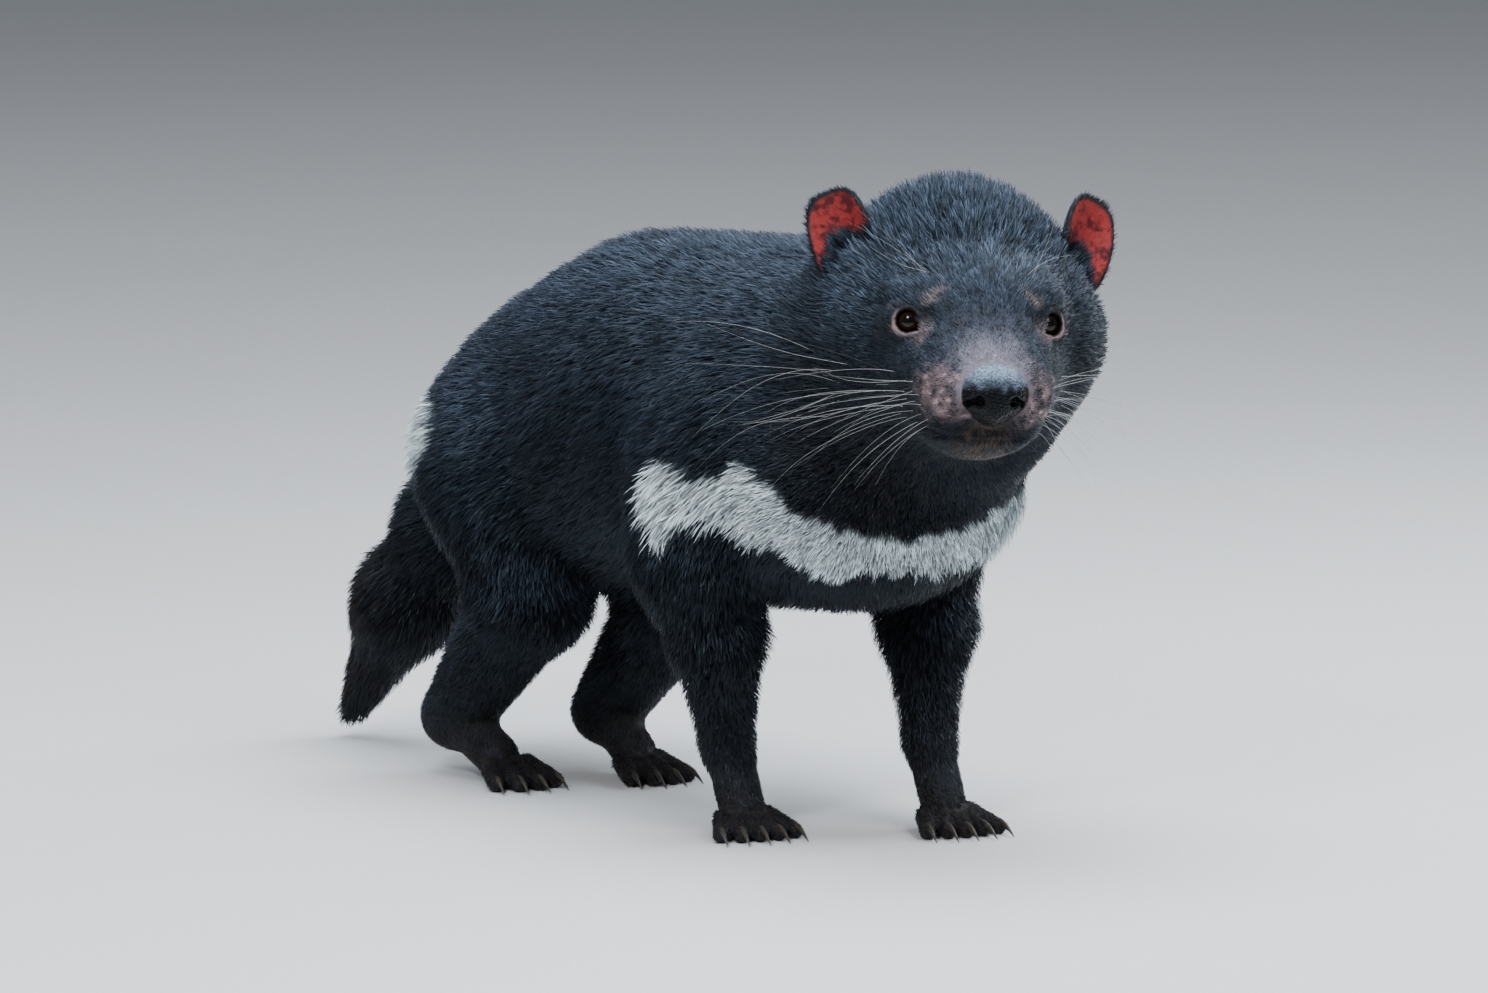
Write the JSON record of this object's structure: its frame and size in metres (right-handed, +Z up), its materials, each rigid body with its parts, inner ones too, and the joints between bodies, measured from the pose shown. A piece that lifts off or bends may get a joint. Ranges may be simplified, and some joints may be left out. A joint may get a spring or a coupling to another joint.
{
  "type": "tasmanian devil",
  "caption": "Stocky marsupial standing still: large broad head turned to its right, round pink ears, black coat, white chest band, tapering tail.",
  "frame": {"origin": "on the floor under the middle of the overall box", "axes": "+X forward along the trunk, +Y to the animal's left, +Z up"},
  "size_m": [0.6096, 0.1988, 0.3487],
  "materials": {
    "coat": "short dense fur",
    "nose": "wet pebbled skin",
    "eye": "wet and clear",
    "ear": "thin bare skin",
    "paw": "thinly furred skin",
    "claw": "dull horn"
  },
  "bodies": {
    "root": {"torso": "coat", "neck": "coat", "head": "coat", "tail_base": "coat", "tail_tip": "coat", "nose": "nose", "eye_left": "eye", "eye_right": "eye", "ear_left": "ear", "ear_right": "ear", "front_right_upper": "coat", "front_right_lower": "coat", "front_right_paw": "paw", "front_right_claw_1": "claw", "front_right_claw_2": "claw", "front_right_claw_3": "claw", "front_right_claw_4": "claw", "front_right_claw_5": "claw", "front_left_upper": "coat", "front_left_lower": "coat", "front_left_paw": "paw", "front_left_claw_1": "claw", "front_left_claw_2": "claw", "front_left_claw_3": "claw", "front_left_claw_4": "claw", "front_left_claw_5": "claw", "hind_right_upper": "coat", "hind_right_lower": "coat", "hind_right_paw": "paw", "hind_right_claw_1": "claw", "hind_right_claw_2": "claw", "hind_right_claw_3": "claw", "hind_right_claw_4": "claw", "hind_left_upper": "coat", "hind_left_lower": "coat", "hind_left_paw": "paw", "hind_left_claw_1": "claw", "hind_left_claw_2": "claw", "hind_left_claw_3": "claw", "hind_left_claw_4": "claw"}
  },
  "joints": []
}
